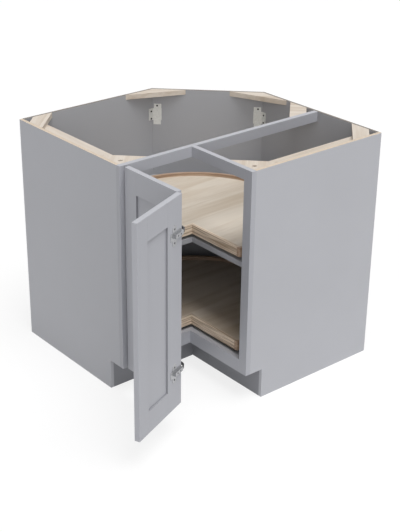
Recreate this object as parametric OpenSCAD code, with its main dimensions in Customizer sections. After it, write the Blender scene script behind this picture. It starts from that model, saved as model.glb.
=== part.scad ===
// Corner base cabinet with two turning trays and a pair of folding doors.
// Origin: the room corner at floor level. +X runs along the rear wall, -Y along the left wall, +Z is up.

/* [Footprint] */
// Depth of each wing from its wall to the front of the face frame
wing_depth = 609.6; // [596:1:640]
// Width of each front, from the inner corner of the face frame to the outer side
front_w = 304.8; // [280:0.1:381]
// Height from the floor to the top edges
cabinet_h = 876.3; // [850:1:930]
// Length of each straight back along its wall
back_w = 604.4; // [574:0.1:665]

/* [Carcass panels] */
// Thickness of the end panels
end_t = 12.7; // [9:0.1:19]
// Thickness of the back panels
back_t = 9; // [5:0.1:12]
// Thickness of the cabinet floor
floor_t = 12.7; // [9:0.1:19]
// Thickness of the fixed middle shelf
shelf_t = 19; // [15:0.1:25]
// Height of the top of the fixed shelf above the floor of the room
shelf_top = 519.7; // [480:1:560]
// Depth of the grooves in the end panels that hold the floor and the shelf
dado = 5; // [2:0.1:7]
// Setback of the front of the fixed shelf from the face of the frame
shelf_setback = 30; // [24:0.5:40]
// Side of the square wooden strips under the rear edges of the floor and the shelf
strip_w = 19; // [12:0.5:25]
// Gap between two strips where they meet at a mitre
strip_gap = 0.4; // [0.2:0.1:2]
// Height of the face frame's bottom rail above the cabinet floor
rail_stand = 9.1; // [2:0.1:20]

/* [Toe space] */
// Height of the toe space
toe_h = 114.3; // [90:0.1:125]
// Depth of the toe space behind the face of the frame
toe_depth = 76.2; // [50:0.1:90]
// Thickness of the toe boards
toe_t = 12.7; // [9:0.1:19]

/* [Face frame] */
// Thickness of the face frame
frame_t = 19; // [16:0.1:25]
// Width of the outer stiles
stile_w = 38.1; // [36:0.1:42]
// Height of the top rails
top_rail_h = 38.1; // [38:0.1:60]
// Height of the bottom rails
bottom_rail_h = 50.8; // [40:0.1:70]

/* [Top bracing] */
// Height of the stretcher that runs back from the inner corner of the frame
stretcher_h = 38; // [25:0.5:60]
// Thickness of the corner blocks and of the cleats under them
brace_t = 19; // [12:0.5:19]
// Width of the cleats along the end panels
cleat_w = 63.5; // [50:0.5:80]
// Gap between the rear end of each cleat and the back panel
cleat_gap = 45; // [40:0.5:60]
// Leg of the solid triangular blocks at the two front corners
front_leg = 115; // [90:1:130]
// Leg of the blocks at the rear corners
rear_leg = 122; // [100:1:140]
// Leg of the block between the stretcher and the rear back panel
stretcher_leg = 126; // [100:1:140]
// Leg of the blocks at the two ends of the diagonal back panel
diagonal_leg = 130; // [100:1:150]
// Length cut off the inner corner of the three blocks that leave an opening there
block_cut = 40; // [25:1:60]
// Diameter of the worktop screw holes
screw_d = 16; // [6:0.5:16]
// Distance of the worktop screw holes from both inner faces
screw_inset = 24; // [16:0.5:32]

/* [Trays] */
// Diameter of the trays
tray_d = 740; // [690:1:760]
// Distance of the tray axis behind the face of the frame, in both directions
axis_setback = 134.6; // [124.6:0.1:149.6]
// Height of the tray edge
tray_h = 34.3; // [28:0.1:40]
// Depth from the top of the edge to the tray floor
tray_recess = 12; // [8:0.1:18]
// Thickness of the tray floor
tray_floor_t = 19; // [12:0.1:19]
// Thickness of the bent rim and of the straight lips at the notch
rim_t = 12; // [8:0.1:16]
// Setback of the notch faces from the face of the frame
tray_setback = 30; // [24:0.5:40]
// Radius of the two outer corners of the notch
notch_r = 8; // [3:0.5:12]
// Running gap between what carries a tray and the bottom of its edge
run_gap = 13; // [12:0.1:20]

/* [Tray bearings] */
// Width of the square bearing plates
plate_w = 180; // [150:1:188]
// Thickness of the bearing plates
plate_t = 1.5; // [1:0.1:2]
// Diameter of the circle of balls
race_d = 120; // [90:1:135]
// Width of each pressed race
race_w = 16; // [13:0.5:22]
// Gap between the two races
race_gap = 3.7; // [2:0.1:5]
// Diameter of the balls
ball_d = 9; // [7:0.1:9.4]
// Number of balls in each bearing
ball_n = 8; // [6:1:14]
// Clearance between the balls and the races
ball_clear = 0.15; // [0.1:0.05:0.3]

/* [Doors] */
// Thickness of the doors
door_t = 19; // [18:0.1:21]
// Gap between the frame and the back of a closed door
door_gap = 3; // [2.7:0.1:4]
// Distance from the outer edge of a closed door to the side of the cabinet
side_reveal = 12; // [11:0.1:13]
// Distance from the top of the doors to the top of the cabinet
top_reveal = 3; // [1:0.5:8]
// Distance from the bottom of the bottom rail to the bottom of the doors
bottom_reveal = 1; // [0:0.5:8]
// Half of the gap between the two doors at the fold
corner_gap = 1.5; // [1:0.1:2.5]
// Width of the stile on the outer side of each door
outer_stile_w = 60; // [56:0.5:72]
// Width of the stile on the fold side of each door
fold_stile_w = 88; // [80:0.5:96]
// Height of the door rails
door_rail_h = 82; // [60:0.5:100]
// Thickness of the flat panel in each door
door_panel_t = 6.35; // [4:0.05:8]
// Depth of the grooves that hold the panel
groove_d = 8; // [5:0.1:10]
// Clearance at the bottom of the grooves
groove_clear = 0.3; // [0.1:0.1:0.8]

/* [Hinges] */
// Distance from the top of the doors to the upper hinges
hinge_drop = 127; // [80:1:200]
// Distance from the bottom of the doors to the lower hinges
hinge_rise = 137; // [100:1:200]
// Diameter of the hinge cups
cup_d = 35; // [34:0.5:36]
// Depth of the hinge cups
cup_depth = 12.5; // [12:0.1:13]
// Distance from the centre of a cup to the screw holes in its flange
cup_ear = 26; // [24:0.5:28]
// Distance from the edge of a door to the centre of a cup
cup_inset = 22.5; // [22:0.1:24]
// Wall of the pressed cups and of their flanges
cup_wall = 1; // [0.6:0.1:1.2]
// Clearance around a cup in its bore
cup_clear = 0.1; // [0.05:0.05:0.3]
// Distance of the door pivot in front of the back of the closed door
pivot_front = 13.6; // [13.2:0.1:13.8]
// Distance of the door pivot from the outer edge of the closed door
pivot_side = 8.9; // [8.7:0.1:9.1]
// Height of the sliding links of the door hinges
link_h = 12; // [8:0.5:13]
// Thickness of the sliding links
link_t = 4; // [3:0.1:4.2]
// Travel of the sliding links for a quarter turn of the door
link_travel = 27.2; // [26.8:0.1:27.6]
// Running clearance of the links
link_clear = 0.3; // [0.2:0.05:0.5]
// Height of the curved links at the fold
bow_h = 10; // [8:0.5:11]
// Inner radius of the curved links, about the fold line
bow_inner = 23; // [22.6:0.1:23.4]
// Thickness of the curved links
bow_t = 4; // [3:0.1:4.2]
// Distance of the fold line in front of the closed doors
fold_front = 1; // [0.5:0.1:1.2]
// Thickness of the hinge plates on the folding door
arm_plate_t = 1.2; // [0.8:0.1:1.3]
// Length of the hinge plates on the folding door
arm_plate_l = 65; // [55:1:72]
// Height of the hinge plates on the folding door
arm_plate_h = 73; // [60:1:80]

/* [Corner clips] */
// Thickness of the steel clips at the ends of the diagonal back panel
clip_t = 2; // [1:0.1:3]
// Distance from the top of the cabinet to the middle of each clip
clip_drop = 102.3; // [76.3:0.5:276.3]
// Height of the body of each clip
clip_h = 48; // [40:1:60]

/* [Pose] */
// Opening of the left door from the closed position
door_open = 90; // [0:1:110]
// Opening of the fold from the closed position
fold_open = 22; // [0:1:27]

/* [Hidden] */
$fn = 72;

// Planes and heights that several pieces share
wall_run = wing_depth + front_w;
back_cut = wall_run - back_w;
tray_axis = wing_depth - axis_setback;
end_in = wall_run - end_t;
frame_back = wing_depth - frame_t;
cut_in = back_cut + back_t * tan(22.5);
toe_face = wing_depth - toe_depth;
floor_top = toe_h + bottom_rail_h - rail_stand;
floor_bot = floor_top - floor_t;
shelf_bot = shelf_top - shelf_t;
shelf_front = wing_depth - shelf_setback;
block_bot = cabinet_h - brace_t;
cleat_bot = block_bot - brace_t;

// Trays, drawn about their own axis
tray_r = tray_d / 2;
notch = axis_setback - tray_setback;
bearing_h = run_gap + tray_h - tray_recess - tray_floor_t;
race_h = bearing_h / 2 - plate_t - race_gap / 2;
plate_hole_in = 12;
plate_hole_d = 5;

// Closed doors, drawn for the left wing
door_back = wing_depth + door_gap;
door_front = door_back + door_t;
door_mid = (door_back + door_front) / 2;
door_out = wall_run - side_reveal;
door_in = door_front + corner_gap;
door_z0 = toe_h + bottom_reveal;
door_z1 = cabinet_h - top_reveal;
panel_y0 = -door_out + outer_stile_w;
panel_y1 = -door_in - fold_stile_w;
hinge_z = [door_z0 + hinge_rise, door_z1 - hinge_drop];
pivot = [door_back + pivot_front, -door_out + pivot_side];
fold = [door_front + fold_front, -door_front - fold_front];

// Door hinge: the link slides between the plate and the cover of the fixed arm
arm_y = -wall_run + stile_w;
arm_base_t = 1;
arm_cover_t = 1.5;
arm_end = 1.5;
arm_wing = 14;
arm_hole_at = 8;
arm_hole_d = 4.5;
link_y = arm_y + arm_base_t + link_clear;
link_tail = 19.8;
nose_w = 5.8;
nose_gap = 0.6;
nose_past = 5;
nose_reach = door_out - cup_inset + link_y + nose_past;

// Hinge cups: the flange around each bore and its two ears
cup_lip = 1.5;
cup_ear_r = 7;
cup_hole_d = 5;

// Fold hinge: distances from the fold line to the back of the doors and to the parts of the arm
back_off = fold[0] - door_back;
bow_outer = bow_inner + bow_t;
arm_cover = bow_outer + 2 * link_clear;
fold_cheek = 1.7;
fold_cover_t = 2;
fold_plate0 = 7;
fold_ear_r = 13;
fold_ear_at = 47;
fold_hole_d = 5.5;
fold_arm0 = 4;
fold_arm1 = 52;

// Corner clip: lengths and places along both panels from the obtuse corner, then its heights and holes
clip_flange = 19;
clip_leaf = 35.5;
clip_hole_at = 8;
clip_ear0 = 6;
clip_ear_w = 28.5;
clip_ear_hole = 18;
clip_tongue0 = 3.5;
clip_tongue_w = 29;
clip_ear_h = 18.5;
clip_ear_top = 7.5;
clip_tongue_h = 17.5;
clip_hole_d = 5;
clip_ear_d = 6.5;
clip_holes = [-clip_h / 2 + 6, clip_h / 2 - 12];

module box(lo, hi) {
    translate(lo)
        cube(hi - lo);
}

// The right wing is the left wing mirrored across the diagonal of the corner
module other_wing() {
    mirror([1, 1, 0])
        children();
}

module turn_about(p, a) {
    translate([p[0], p[1], 0])
        rotate([0, 0, a])
            translate([-p[0], -p[1], 0])
                children();
}

module pose_left_door() {
    turn_about(pivot, -door_open)
        children();
}

module pose_right_door() {
    pose_left_door()
        turn_about(fold, fold_open)
            other_wing()
                children();
}

// Carcass

module end_panel() {
    difference() {
        translate([0, -end_in, 0])
            rotate([90, 0, 0])
                linear_extrude(end_t)
                    polygon([
                        [0, 0], [toe_face, 0], [toe_face, toe_h], [frame_back, toe_h],
                        [frame_back, cabinet_h], [0, cabinet_h]
                    ]);
        box([back_t, -end_in - dado, floor_bot], [frame_back + 1, -end_in + 1, floor_top]);
        box([back_t, -end_in - dado, shelf_bot], [shelf_front, -end_in + 1, shelf_top]);
    }
}

module back_panel() {
    linear_extrude(cabinet_h)
        polygon([[0, -end_in], [0, -back_cut], [back_t, -cut_in], [back_t, -end_in]]);
}

module diagonal_panel() {
    linear_extrude(cabinet_h)
        polygon([[0, -back_cut], [back_cut, 0], [cut_in, -back_t], [back_t, -cut_in]]);
}

// Plan of a board that fills the cabinet up to a front line, with its sides in the end grooves
module deck(front) {
    side = end_in + dado;
    polygon([
        [back_t, -side], [back_t, -cut_in], [cut_in, -back_t], [side, -back_t],
        [side, -front], [front, -front], [front, -side]
    ]);
}

module floor_board() {
    translate([0, 0, floor_bot])
        linear_extrude(floor_t)
            deck(frame_back);
}

module shelf_board() {
    translate([0, 0, shelf_bot])
        linear_extrude(shelf_t)
            deck(shelf_front);
}

// Strips under the rear edges of the floor and the shelf, cut with a small gap at each mitre
module strip_plan() {
    far = -cut_in - strip_gap;
    polygon([
        [back_t, -end_in], [back_t, far],
        [back_t + strip_w, far - strip_w * tan(22.5)], [back_t + strip_w, -end_in]
    ]);
}

module diagonal_strip_plan() {
    m = strip_w * tan(22.5);
    polygon([
        [back_t, -cut_in], [cut_in, -back_t],
        [cut_in + m, -back_t - strip_w], [back_t + strip_w, -cut_in - m]
    ]);
}

module strips() {
    for (z = [floor_bot, shelf_bot])
        translate([0, 0, z - strip_w])
            linear_extrude(strip_w) {
                strip_plan();
                mirror([1, 1])
                    strip_plan();
                diagonal_strip_plan();
            }
}

module left_toe() {
    box([toe_face - toe_t, -end_in, 0], [toe_face, -toe_face + toe_t, floor_bot]);
}

module right_toe() {
    box([toe_face, -toe_face, 0], [end_in, -toe_face + toe_t, floor_bot]);
}

// Face frame

module frame_stile() {
    box([frame_back, -wall_run, toe_h], [wing_depth, -wall_run + stile_w, cabinet_h]);
}

// The left rails run through the inner corner and the right rails butt against them
module left_rail(z0, z1) {
    box([frame_back, -wall_run + stile_w, z0], [wing_depth, -frame_back, z1]);
}

module right_rail(z0, z1) {
    box([wing_depth, -wing_depth, z0], [wall_run - stile_w, -frame_back, z1]);
}

module top_stretcher() {
    box([frame_back, -frame_back, cabinet_h - stretcher_h], [wing_depth, -back_t, cabinet_h]);
}

// Top bracing

module worktop_hole() {
    translate([frame_back - screw_inset, -end_in + screw_inset, cleat_bot - 1])
        cylinder(d = screw_d, h = 2 * brace_t + 2);
}

module cleat() {
    difference() {
        box([back_t + cleat_gap, -end_in, cleat_bot], [frame_back, -end_in + cleat_w, block_bot]);
        worktop_hole();
    }
}

module brace(points) {
    translate([0, 0, block_bot])
        linear_extrude(brace_t)
            polygon(points);
}

// Four-sided block across a square corner, whose own corner is cut off
module cut_block(x, y, sx, sy, leg) {
    brace([
        [x + sx * block_cut, y], [x + sx * leg, y],
        [x, y + sy * leg], [x, y + sy * block_cut]
    ]);
}

module front_block() {
    difference() {
        brace([
            [frame_back, -end_in], [frame_back, -end_in + front_leg],
            [frame_back - front_leg, -end_in]
        ]);
        worktop_hole();
    }
}

module diagonal_block() {
    d = diagonal_leg * cos(45);
    brace([[back_t, -cut_in], [back_t, -cut_in - diagonal_leg], [back_t + d, -cut_in + d]]);
}

// Steel clip bent round the obtuse corner: a flange on the straight panel, and on the diagonal
// panel a leaf with an ear above it and a tongue below
module corner_clip() {
    c = cos(45);
    far = clip_leaf * c;
    step = clip_t * c;
    translate([back_t, -cut_in, cabinet_h - clip_drop]) {
        difference() {
            translate([0, 0, -clip_h / 2])
                linear_extrude(clip_h)
                    polygon([
                        [0, -clip_flange], [clip_t, -clip_flange], [clip_t, -clip_t * tan(22.5)],
                        [far + step, far - step], [far, far], [0, 0]
                    ]);
            for (z = clip_holes)
                translate([-1, -clip_hole_at, z])
                    rotate([0, 90, 0])
                        cylinder(d = clip_hole_d, h = clip_t + 2);
        }
        rotate([0, 0, -45])
            rotate([90, 0, 90])
                linear_extrude(clip_t)
                    difference() {
                        union() {
                            translate([clip_ear0, clip_h / 2 - 1])
                                square([clip_ear_w, clip_ear_h + 1]);
                            translate([clip_tongue0, -clip_h / 2 - clip_tongue_h])
                                square([clip_tongue_w, clip_tongue_h + 1]);
                        }
                        translate([clip_ear_hole, clip_h / 2 + clip_ear_h - clip_ear_top])
                            circle(d = clip_ear_d);
                    }
    }
}

// Trays and bearings

module at_axis(z) {
    translate([tray_axis, -tray_axis, z])
        children();
}

module notch_quadrant(n) {
    translate([n, -n - tray_d])
        square(tray_d);
}

// Waste outside the round at the outer end of a notch face
module notch_corner() {
    cy = notch - notch_r;
    cx = sqrt(pow(tray_r - notch_r, 2) - cy * cy);
    k = (tray_r + 2) / (tray_r - notch_r);
    difference() {
        polygon([[cx, -cy], [cx, -notch - 1], [cx + 3 * notch_r, -notch - 1], [cx * k, -cy * k]]);
        translate([cx, -cy])
            circle(r = notch_r);
    }
}

module tray_plan() {
    difference() {
        circle(r = tray_r);
        notch_quadrant(notch);
        notch_corner();
        mirror([1, 1])
            notch_corner();
    }
}

module tray_rim() {
    linear_extrude(tray_h)
        difference() {
            tray_plan();
            circle(r = tray_r - rim_t);
        }
}

module tray_lips() {
    n = notch - rim_t;
    linear_extrude(tray_h)
        intersection() {
            circle(r = tray_r - rim_t);
            polygon([[n, -n], [n, -tray_r], [notch, -tray_r], [notch, -notch], [tray_r, -notch], [tray_r, -n]]);
        }
}

module tray_floor() {
    translate([0, 0, tray_h - tray_recess - tray_floor_t])
        linear_extrude(tray_floor_t)
            difference() {
                circle(r = tray_r - rim_t);
                notch_quadrant(notch - rim_t);
            }
}

// Pressed steel plate with a grooved race; the plate on the tray is the same piece turned over
module bearing_plate() {
    hole_at = plate_w / 2 - plate_hole_in;
    difference() {
        translate([-plate_w / 2, -plate_w / 2, 0])
            cube([plate_w, plate_w, plate_t]);
        translate([0, 0, -1])
            cylinder(d = race_d - 2 * race_w, h = plate_t + 2);
        for (x = [-hole_at, hole_at], y = [-hole_at, hole_at])
            translate([x, y, -1])
                cylinder(d = plate_hole_d, h = plate_t + 2);
    }
    rotate_extrude()
        difference() {
            translate([race_d / 2 - race_w / 2, plate_t])
                square([race_w, race_h]);
            translate([race_d / 2, bearing_h / 2])
                circle(r = ball_d / 2 + ball_clear, $fn = 24);
        }
}

module bearing_top() {
    translate([0, 0, bearing_h])
        mirror([0, 0, 1])
            bearing_plate();
}

module balls() {
    for (i = [0 : ball_n - 1])
        rotate([0, 0, i * 360 / ball_n])
            translate([race_d / 2, 0, bearing_h / 2])
                sphere(d = ball_d, $fn = 16);
}

// Doors, drawn closed in the left wing

module panel_groove(y0, y1, z0, z1) {
    box([door_mid - door_panel_t / 2, y0, z0], [door_mid + door_panel_t / 2, y1, z1]);
}

module cup_bores(y) {
    for (z = hinge_z)
        translate([door_back - 1, y, z])
            rotate([0, 90, 0])
                cylinder(d = cup_d + 2 * cup_clear, h = cup_depth + cup_clear + 1);
}

module door_outer_stile() {
    difference() {
        box([door_back, -door_out, door_z0], [door_front, panel_y0, door_z1]);
        panel_groove(panel_y0 - groove_d, panel_y0 + 1, door_z0 - 1, door_z1 + 1);
    }
}

module door_fold_stile() {
    difference() {
        box([door_back, panel_y1, door_z0], [door_front, -door_in, door_z1]);
        panel_groove(panel_y1 - 1, panel_y1 + groove_d, door_z0 - 1, door_z1 + 1);
    }
}

// Each rail has a stub tenon at both ends and a groove for the panel
module door_rail(z0, z1, groove_z0, groove_z1) {
    reach = groove_d - groove_clear;
    difference() {
        union() {
            box([door_back, panel_y0, z0], [door_front, panel_y1, z1]);
            panel_groove(panel_y0 - reach, panel_y1 + reach, z0, z1);
        }
        panel_groove(panel_y0 - groove_d, panel_y1 + groove_d, groove_z0, groove_z1);
    }
}

module door_rails() {
    door_rail(door_z0, door_z0 + door_rail_h, door_z0 + door_rail_h - groove_d, door_z0 + door_rail_h + 1);
    door_rail(door_z1 - door_rail_h, door_z1, door_z1 - door_rail_h - 1, door_z1 - door_rail_h + groove_d);
}

module door_panel() {
    reach = groove_d - groove_clear;
    panel_groove(
        panel_y0 - reach, panel_y1 + reach,
        door_z0 + door_rail_h - reach, door_z1 - door_rail_h + reach
    );
}

// Cup with a flange that has two ears, open towards the back of the door. The link of height h
// lies between its two flat cheeks
module hinge_cup(h) {
    half = h / 2 + link_clear;
    difference() {
        union() {
            cylinder(d = cup_d, h = cup_depth);
            translate([0, 0, -cup_wall])
                cylinder(d = cup_d + 2 * cup_lip, h = cup_wall);
            translate([-cup_ear, -cup_ear_r, -cup_wall])
                cube([2 * cup_ear, 2 * cup_ear_r, cup_wall]);
            for (s = [-1, 1])
                translate([s * cup_ear, 0, -cup_wall])
                    cylinder(r = cup_ear_r, h = cup_wall);
        }
        intersection() {
            translate([0, 0, -cup_wall - 1])
                cylinder(d = cup_d - 2 * cup_wall, h = cup_depth + 1);
            box([-half, -cup_d / 2, -cup_wall - 1], [half, cup_d / 2, cup_depth]);
        }
        for (s = [-1, 1])
            translate([s * cup_ear, 0, -cup_wall - 1])
                cylinder(d = cup_hole_d, h = cup_wall + 2);
    }
}

module cups(y, h) {
    for (z = hinge_z)
        translate([door_back, y, z])
            rotate([0, 90, 0])
                hinge_cup(h);
}

// Hinge arm on the stile: a plate and a channel that the link slides in
module hinge_arm() {
    half = link_h / 2 + link_clear;
    top = link_t + 2 * link_clear;
    x0 = frame_back + arm_end;
    x1 = wing_depth - arm_end;
    translate([0, arm_y, 0])
        difference() {
            union() {
                box([x0, 0, -half - arm_wing], [x1, arm_base_t, half + arm_wing]);
                box([x0, 0, -half - arm_cover_t], [x1, arm_base_t + top + arm_cover_t, half + arm_cover_t]);
            }
            box([x0 - 1, arm_base_t, -half], [x1 + 1, arm_base_t + top, half]);
            for (s = [-1, 1])
                translate([(x0 + x1) / 2, -1, s * (half + arm_hole_at)])
                    rotate([-90, 0, 0])
                        cylinder(d = arm_hole_d, h = arm_base_t + 2);
        }
}

// Link of the door hinge, closed: a flat bar with a hooked nose that reaches into the cup
module door_link() {
    x0 = wing_depth + nose_gap;
    x1 = x0 + nose_w;
    y_tip = link_y - nose_reach;
    translate([0, 0, -link_h / 2]) {
        box([frame_back - link_tail, link_y, 0], [x1, link_y + link_t, link_h]);
        box([x0, y_tip + nose_w / 2, 0], [x1, link_y + link_t, link_h]);
        translate([x0 + nose_w / 2, y_tip + nose_w / 2, 0])
            cylinder(d = nose_w, h = link_h);
    }
}

// Curved link of the fold hinge, closed: it bends round the fold line from the arm to the cup
module bow_link() {
    a0 = 85;
    a1 = 218.5;
    reach = 2 * bow_outer;
    translate([fold[0], fold[1], -bow_h / 2])
        linear_extrude(bow_h)
            intersection() {
                difference() {
                    circle(r = bow_outer);
                    circle(r = bow_inner);
                }
                polygon(concat([[0, 0]], [for (i = [0 : 3])
                    let (a = a0 + (a1 - a0) * i / 3) [reach * cos(a), reach * sin(a)]]));
            }
}

// Arm of the fold hinge on the back of the folding door: plate, two ears and a channel
module fold_arm() {
    half = bow_h / 2 + link_clear;
    xp = back_off + arm_plate_t;
    xc = arm_cover + fold_cover_t;
    translate([fold[0], -door_in, 0])
        difference() {
            union() {
                box([-xp, -fold_plate0 - arm_plate_l, -fold_ear_r], [-back_off, -fold_plate0, fold_ear_r]);
                box([-xp, -fold_ear_at - fold_ear_r, -arm_plate_h / 2 + fold_ear_r], [-back_off, -fold_ear_at + fold_ear_r, arm_plate_h / 2 - fold_ear_r]);
                for (s = [-1, 1])
                    translate([-xp, -fold_ear_at, s * (arm_plate_h / 2 - fold_ear_r)])
                        rotate([0, 90, 0])
                            cylinder(r = fold_ear_r, h = arm_plate_t);
                box([-xc, -fold_arm1, -half - fold_cheek], [-back_off - arm_plate_t / 2, -fold_arm0, half + fold_cheek]);
            }
            box([-arm_cover, -fold_arm1 + fold_cheek, -half], [-xp, -fold_arm0 + 1, half]);
            box([-xp - 1, -fold_plate0, -half - fold_cheek - 1], [-back_off + 1, -fold_arm0 + 1, half + fold_cheek + 1]);
            for (s = [-1, 1])
                translate([-xp - 1, -fold_ear_at, s * (arm_plate_h / 2 - fold_ear_r)])
                    rotate([0, 90, 0])
                        cylinder(d = fold_hole_d, h = arm_plate_t + 2);
        }
}

module at_hinges() {
    for (z = hinge_z)
        translate([0, 0, z])
            children();
}

// Named pieces

module left_end_panel() { color("#a0a2a6") end_panel(); }
module right_end_panel() { color("#a0a2a6") other_wing() end_panel(); }
module left_back_panel() { color("#8f8f92") back_panel(); }
module rear_back_panel() { color("#8f8f92") other_wing() back_panel(); }
module diagonal_back_panel() { color("#8f8f92") diagonal_panel(); }
module floor_panel() { color("#86868a") floor_board(); }
module fixed_shelf() { color("#86868a") shelf_board(); }
module support_strips() { color("#dccdb6") strips(); }
module left_toe_board() { color("#66666c") left_toe(); }
module right_toe_board() { color("#66666c") right_toe(); }
module left_stile() { color("#a8aaae") frame_stile(); }
module right_stile() { color("#a8aaae") other_wing() frame_stile(); }
module left_top_rail() { color("#a8aaae") left_rail(cabinet_h - top_rail_h, cabinet_h); }
module right_top_rail() { color("#a8aaae") right_rail(cabinet_h - top_rail_h, cabinet_h); }
module left_bottom_rail() { color("#a8aaae") left_rail(toe_h, toe_h + bottom_rail_h); }
module right_bottom_rail() { color("#a8aaae") right_rail(toe_h, toe_h + bottom_rail_h); }
module stretcher() { color("#a8aaae") top_stretcher(); }
module left_cleat() { color("#e0d2bc") cleat(); }
module right_cleat() { color("#e0d2bc") other_wing() cleat(); }
module left_front_block() { color("#dccbb0") front_block(); }
module right_front_block() { color("#dccbb0") other_wing() front_block(); }
module left_rear_block() { color("#dccbb0") cut_block(back_t, -end_in, 1, 1, rear_leg); }
module right_rear_block() { color("#dccbb0") other_wing() cut_block(back_t, -end_in, 1, 1, rear_leg); }
module stretcher_block() { color("#dccbb0") cut_block(frame_back, -back_t, -1, -1, stretcher_leg); }
module left_diagonal_block() { color("#dccbb0") diagonal_block(); }
module right_diagonal_block() { color("#dccbb0") other_wing() diagonal_block(); }
module left_corner_clip() { color("#c4c6c8") corner_clip(); }
module right_corner_clip() { color("#c4c6c8") other_wing() corner_clip(); }
module door_hinge_arms() { color("#c4c6c8") at_hinges() hinge_arm(); }
module upper_bearing_base() { color("#b0b2b4") at_axis(shelf_top) bearing_plate(); }
module lower_bearing_base() { color("#b0b2b4") at_axis(floor_top) bearing_plate(); }

module bearing_balls() {
    color("#d8d8da") {
        at_axis(shelf_top)
            balls();
        at_axis(floor_top)
            balls();
    }
}

module upper_tray_floor() { color("#cbbfac") at_axis(shelf_top + run_gap) tray_floor(); }
module upper_tray_rim() { color("#b49d84") at_axis(shelf_top + run_gap) tray_rim(); }
module upper_tray_lips() { color("#968473") at_axis(shelf_top + run_gap) tray_lips(); }
module upper_bearing_plate() { color("#b0b2b4") at_axis(shelf_top) bearing_top(); }
module lower_tray_floor() { color("#cbbfac") at_axis(floor_top + run_gap) tray_floor(); }
module lower_tray_rim() { color("#b49d84") at_axis(floor_top + run_gap) tray_rim(); }
module lower_tray_lips() { color("#968473") at_axis(floor_top + run_gap) tray_lips(); }
module lower_bearing_plate() { color("#b0b2b4") at_axis(floor_top) bearing_top(); }

module left_door_outer_stile() {
    color("#a6a8ac")
        pose_left_door()
            difference() {
                door_outer_stile();
                cup_bores(-door_out + cup_inset);
            }
}

module left_door_fold_stile() {
    color("#a6a8ac")
        pose_left_door()
            difference() {
                door_fold_stile();
                cup_bores(-door_in - cup_inset);
            }
}

module left_door_rails() { color("#a6a8ac") pose_left_door() door_rails(); }
module left_door_panel() { color("#a6a8ac") pose_left_door() door_panel(); }
module door_hinge_cups() { color("#c4c6c8") pose_left_door() cups(-door_out + cup_inset, link_h); }
module fold_hinge_cups() { color("#c4c6c8") pose_left_door() cups(-door_in - cup_inset, bow_h); }
module right_door_outer_stile() { color("#a6a8ac") pose_right_door() door_outer_stile(); }
module right_door_fold_stile() { color("#a6a8ac") pose_right_door() door_fold_stile(); }
module right_door_rails() { color("#a6a8ac") pose_right_door() door_rails(); }
module right_door_panel() { color("#a6a8ac") pose_right_door() door_panel(); }
module fold_hinge_arms() { color("#c4c6c8") pose_right_door() at_hinges() fold_arm(); }

module door_hinge_links() {
    color("#b8babc")
        translate([link_travel * door_open / 90, 0, 0])
            at_hinges()
                door_link();
}

module fold_hinge_links() {
    color("#b8babc")
        pose_left_door()
            turn_about(fold, fold_open / 2)
                at_hinges()
                    bow_link();
}

left_end_panel();
right_end_panel();
left_back_panel();
rear_back_panel();
diagonal_back_panel();
floor_panel();
fixed_shelf();
support_strips();
left_toe_board();
right_toe_board();
left_stile();
right_stile();
left_top_rail();
right_top_rail();
left_bottom_rail();
right_bottom_rail();
stretcher();
left_cleat();
right_cleat();
left_front_block();
right_front_block();
left_rear_block();
right_rear_block();
stretcher_block();
left_diagonal_block();
right_diagonal_block();
left_corner_clip();
right_corner_clip();
door_hinge_arms();
upper_bearing_base();
lower_bearing_base();
bearing_balls();
upper_tray_floor();
upper_tray_rim();
upper_tray_lips();
upper_bearing_plate();
lower_tray_floor();
lower_tray_rim();
lower_tray_lips();
lower_bearing_plate();
left_door_outer_stile();
left_door_fold_stile();
left_door_rails();
left_door_panel();
door_hinge_cups();
fold_hinge_cups();
right_door_outer_stile();
right_door_fold_stile();
right_door_rails();
right_door_panel();
fold_hinge_arms();
door_hinge_links();
fold_hinge_links();
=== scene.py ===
"""A corner base cabinet with folding doors and two turning trays, dressed for a studio picture."""

import math

import bmesh
import bpy
from mathutils import Matrix, Vector


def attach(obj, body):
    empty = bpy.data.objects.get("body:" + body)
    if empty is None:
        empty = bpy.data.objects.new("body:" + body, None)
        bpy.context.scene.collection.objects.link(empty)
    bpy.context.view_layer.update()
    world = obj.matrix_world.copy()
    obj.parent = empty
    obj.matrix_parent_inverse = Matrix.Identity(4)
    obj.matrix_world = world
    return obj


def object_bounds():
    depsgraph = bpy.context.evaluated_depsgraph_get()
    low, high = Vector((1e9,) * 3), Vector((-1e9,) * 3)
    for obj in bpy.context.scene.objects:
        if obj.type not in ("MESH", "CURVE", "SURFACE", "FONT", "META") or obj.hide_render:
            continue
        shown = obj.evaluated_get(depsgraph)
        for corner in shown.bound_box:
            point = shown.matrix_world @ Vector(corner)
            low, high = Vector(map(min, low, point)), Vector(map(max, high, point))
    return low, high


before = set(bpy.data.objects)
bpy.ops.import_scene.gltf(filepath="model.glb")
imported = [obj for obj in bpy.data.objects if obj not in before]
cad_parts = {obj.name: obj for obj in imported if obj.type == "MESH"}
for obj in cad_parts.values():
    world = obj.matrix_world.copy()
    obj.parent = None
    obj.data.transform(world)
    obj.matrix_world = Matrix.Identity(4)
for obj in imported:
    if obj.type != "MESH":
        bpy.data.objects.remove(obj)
cad_low, cad_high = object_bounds()
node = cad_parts

# ---------------------------------------------------------------------------
# Camera. The cabinet is seen from the front right and from above, from about
# five metres, with the lens shifted a little as the picture was cropped.
PICTURE_LONG_SIDE = 532.0
PICTURE_SHORT_SIDE = 400.0
FOCAL_PIXELS = 1166.585
CENTRE_ACROSS = 170.108
CENTRE_DOWN = 257.086
SENSOR = 36.0
CAMERA_PLACE = Vector((3.48478, -2.99095, 2.23475))
CAMERA_AZIMUTH = math.radians(51.497)
CAMERA_RISE = math.radians(25.416)
NEAREST_SEEN = 0.05
FARTHEST_SEEN = 60

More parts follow.
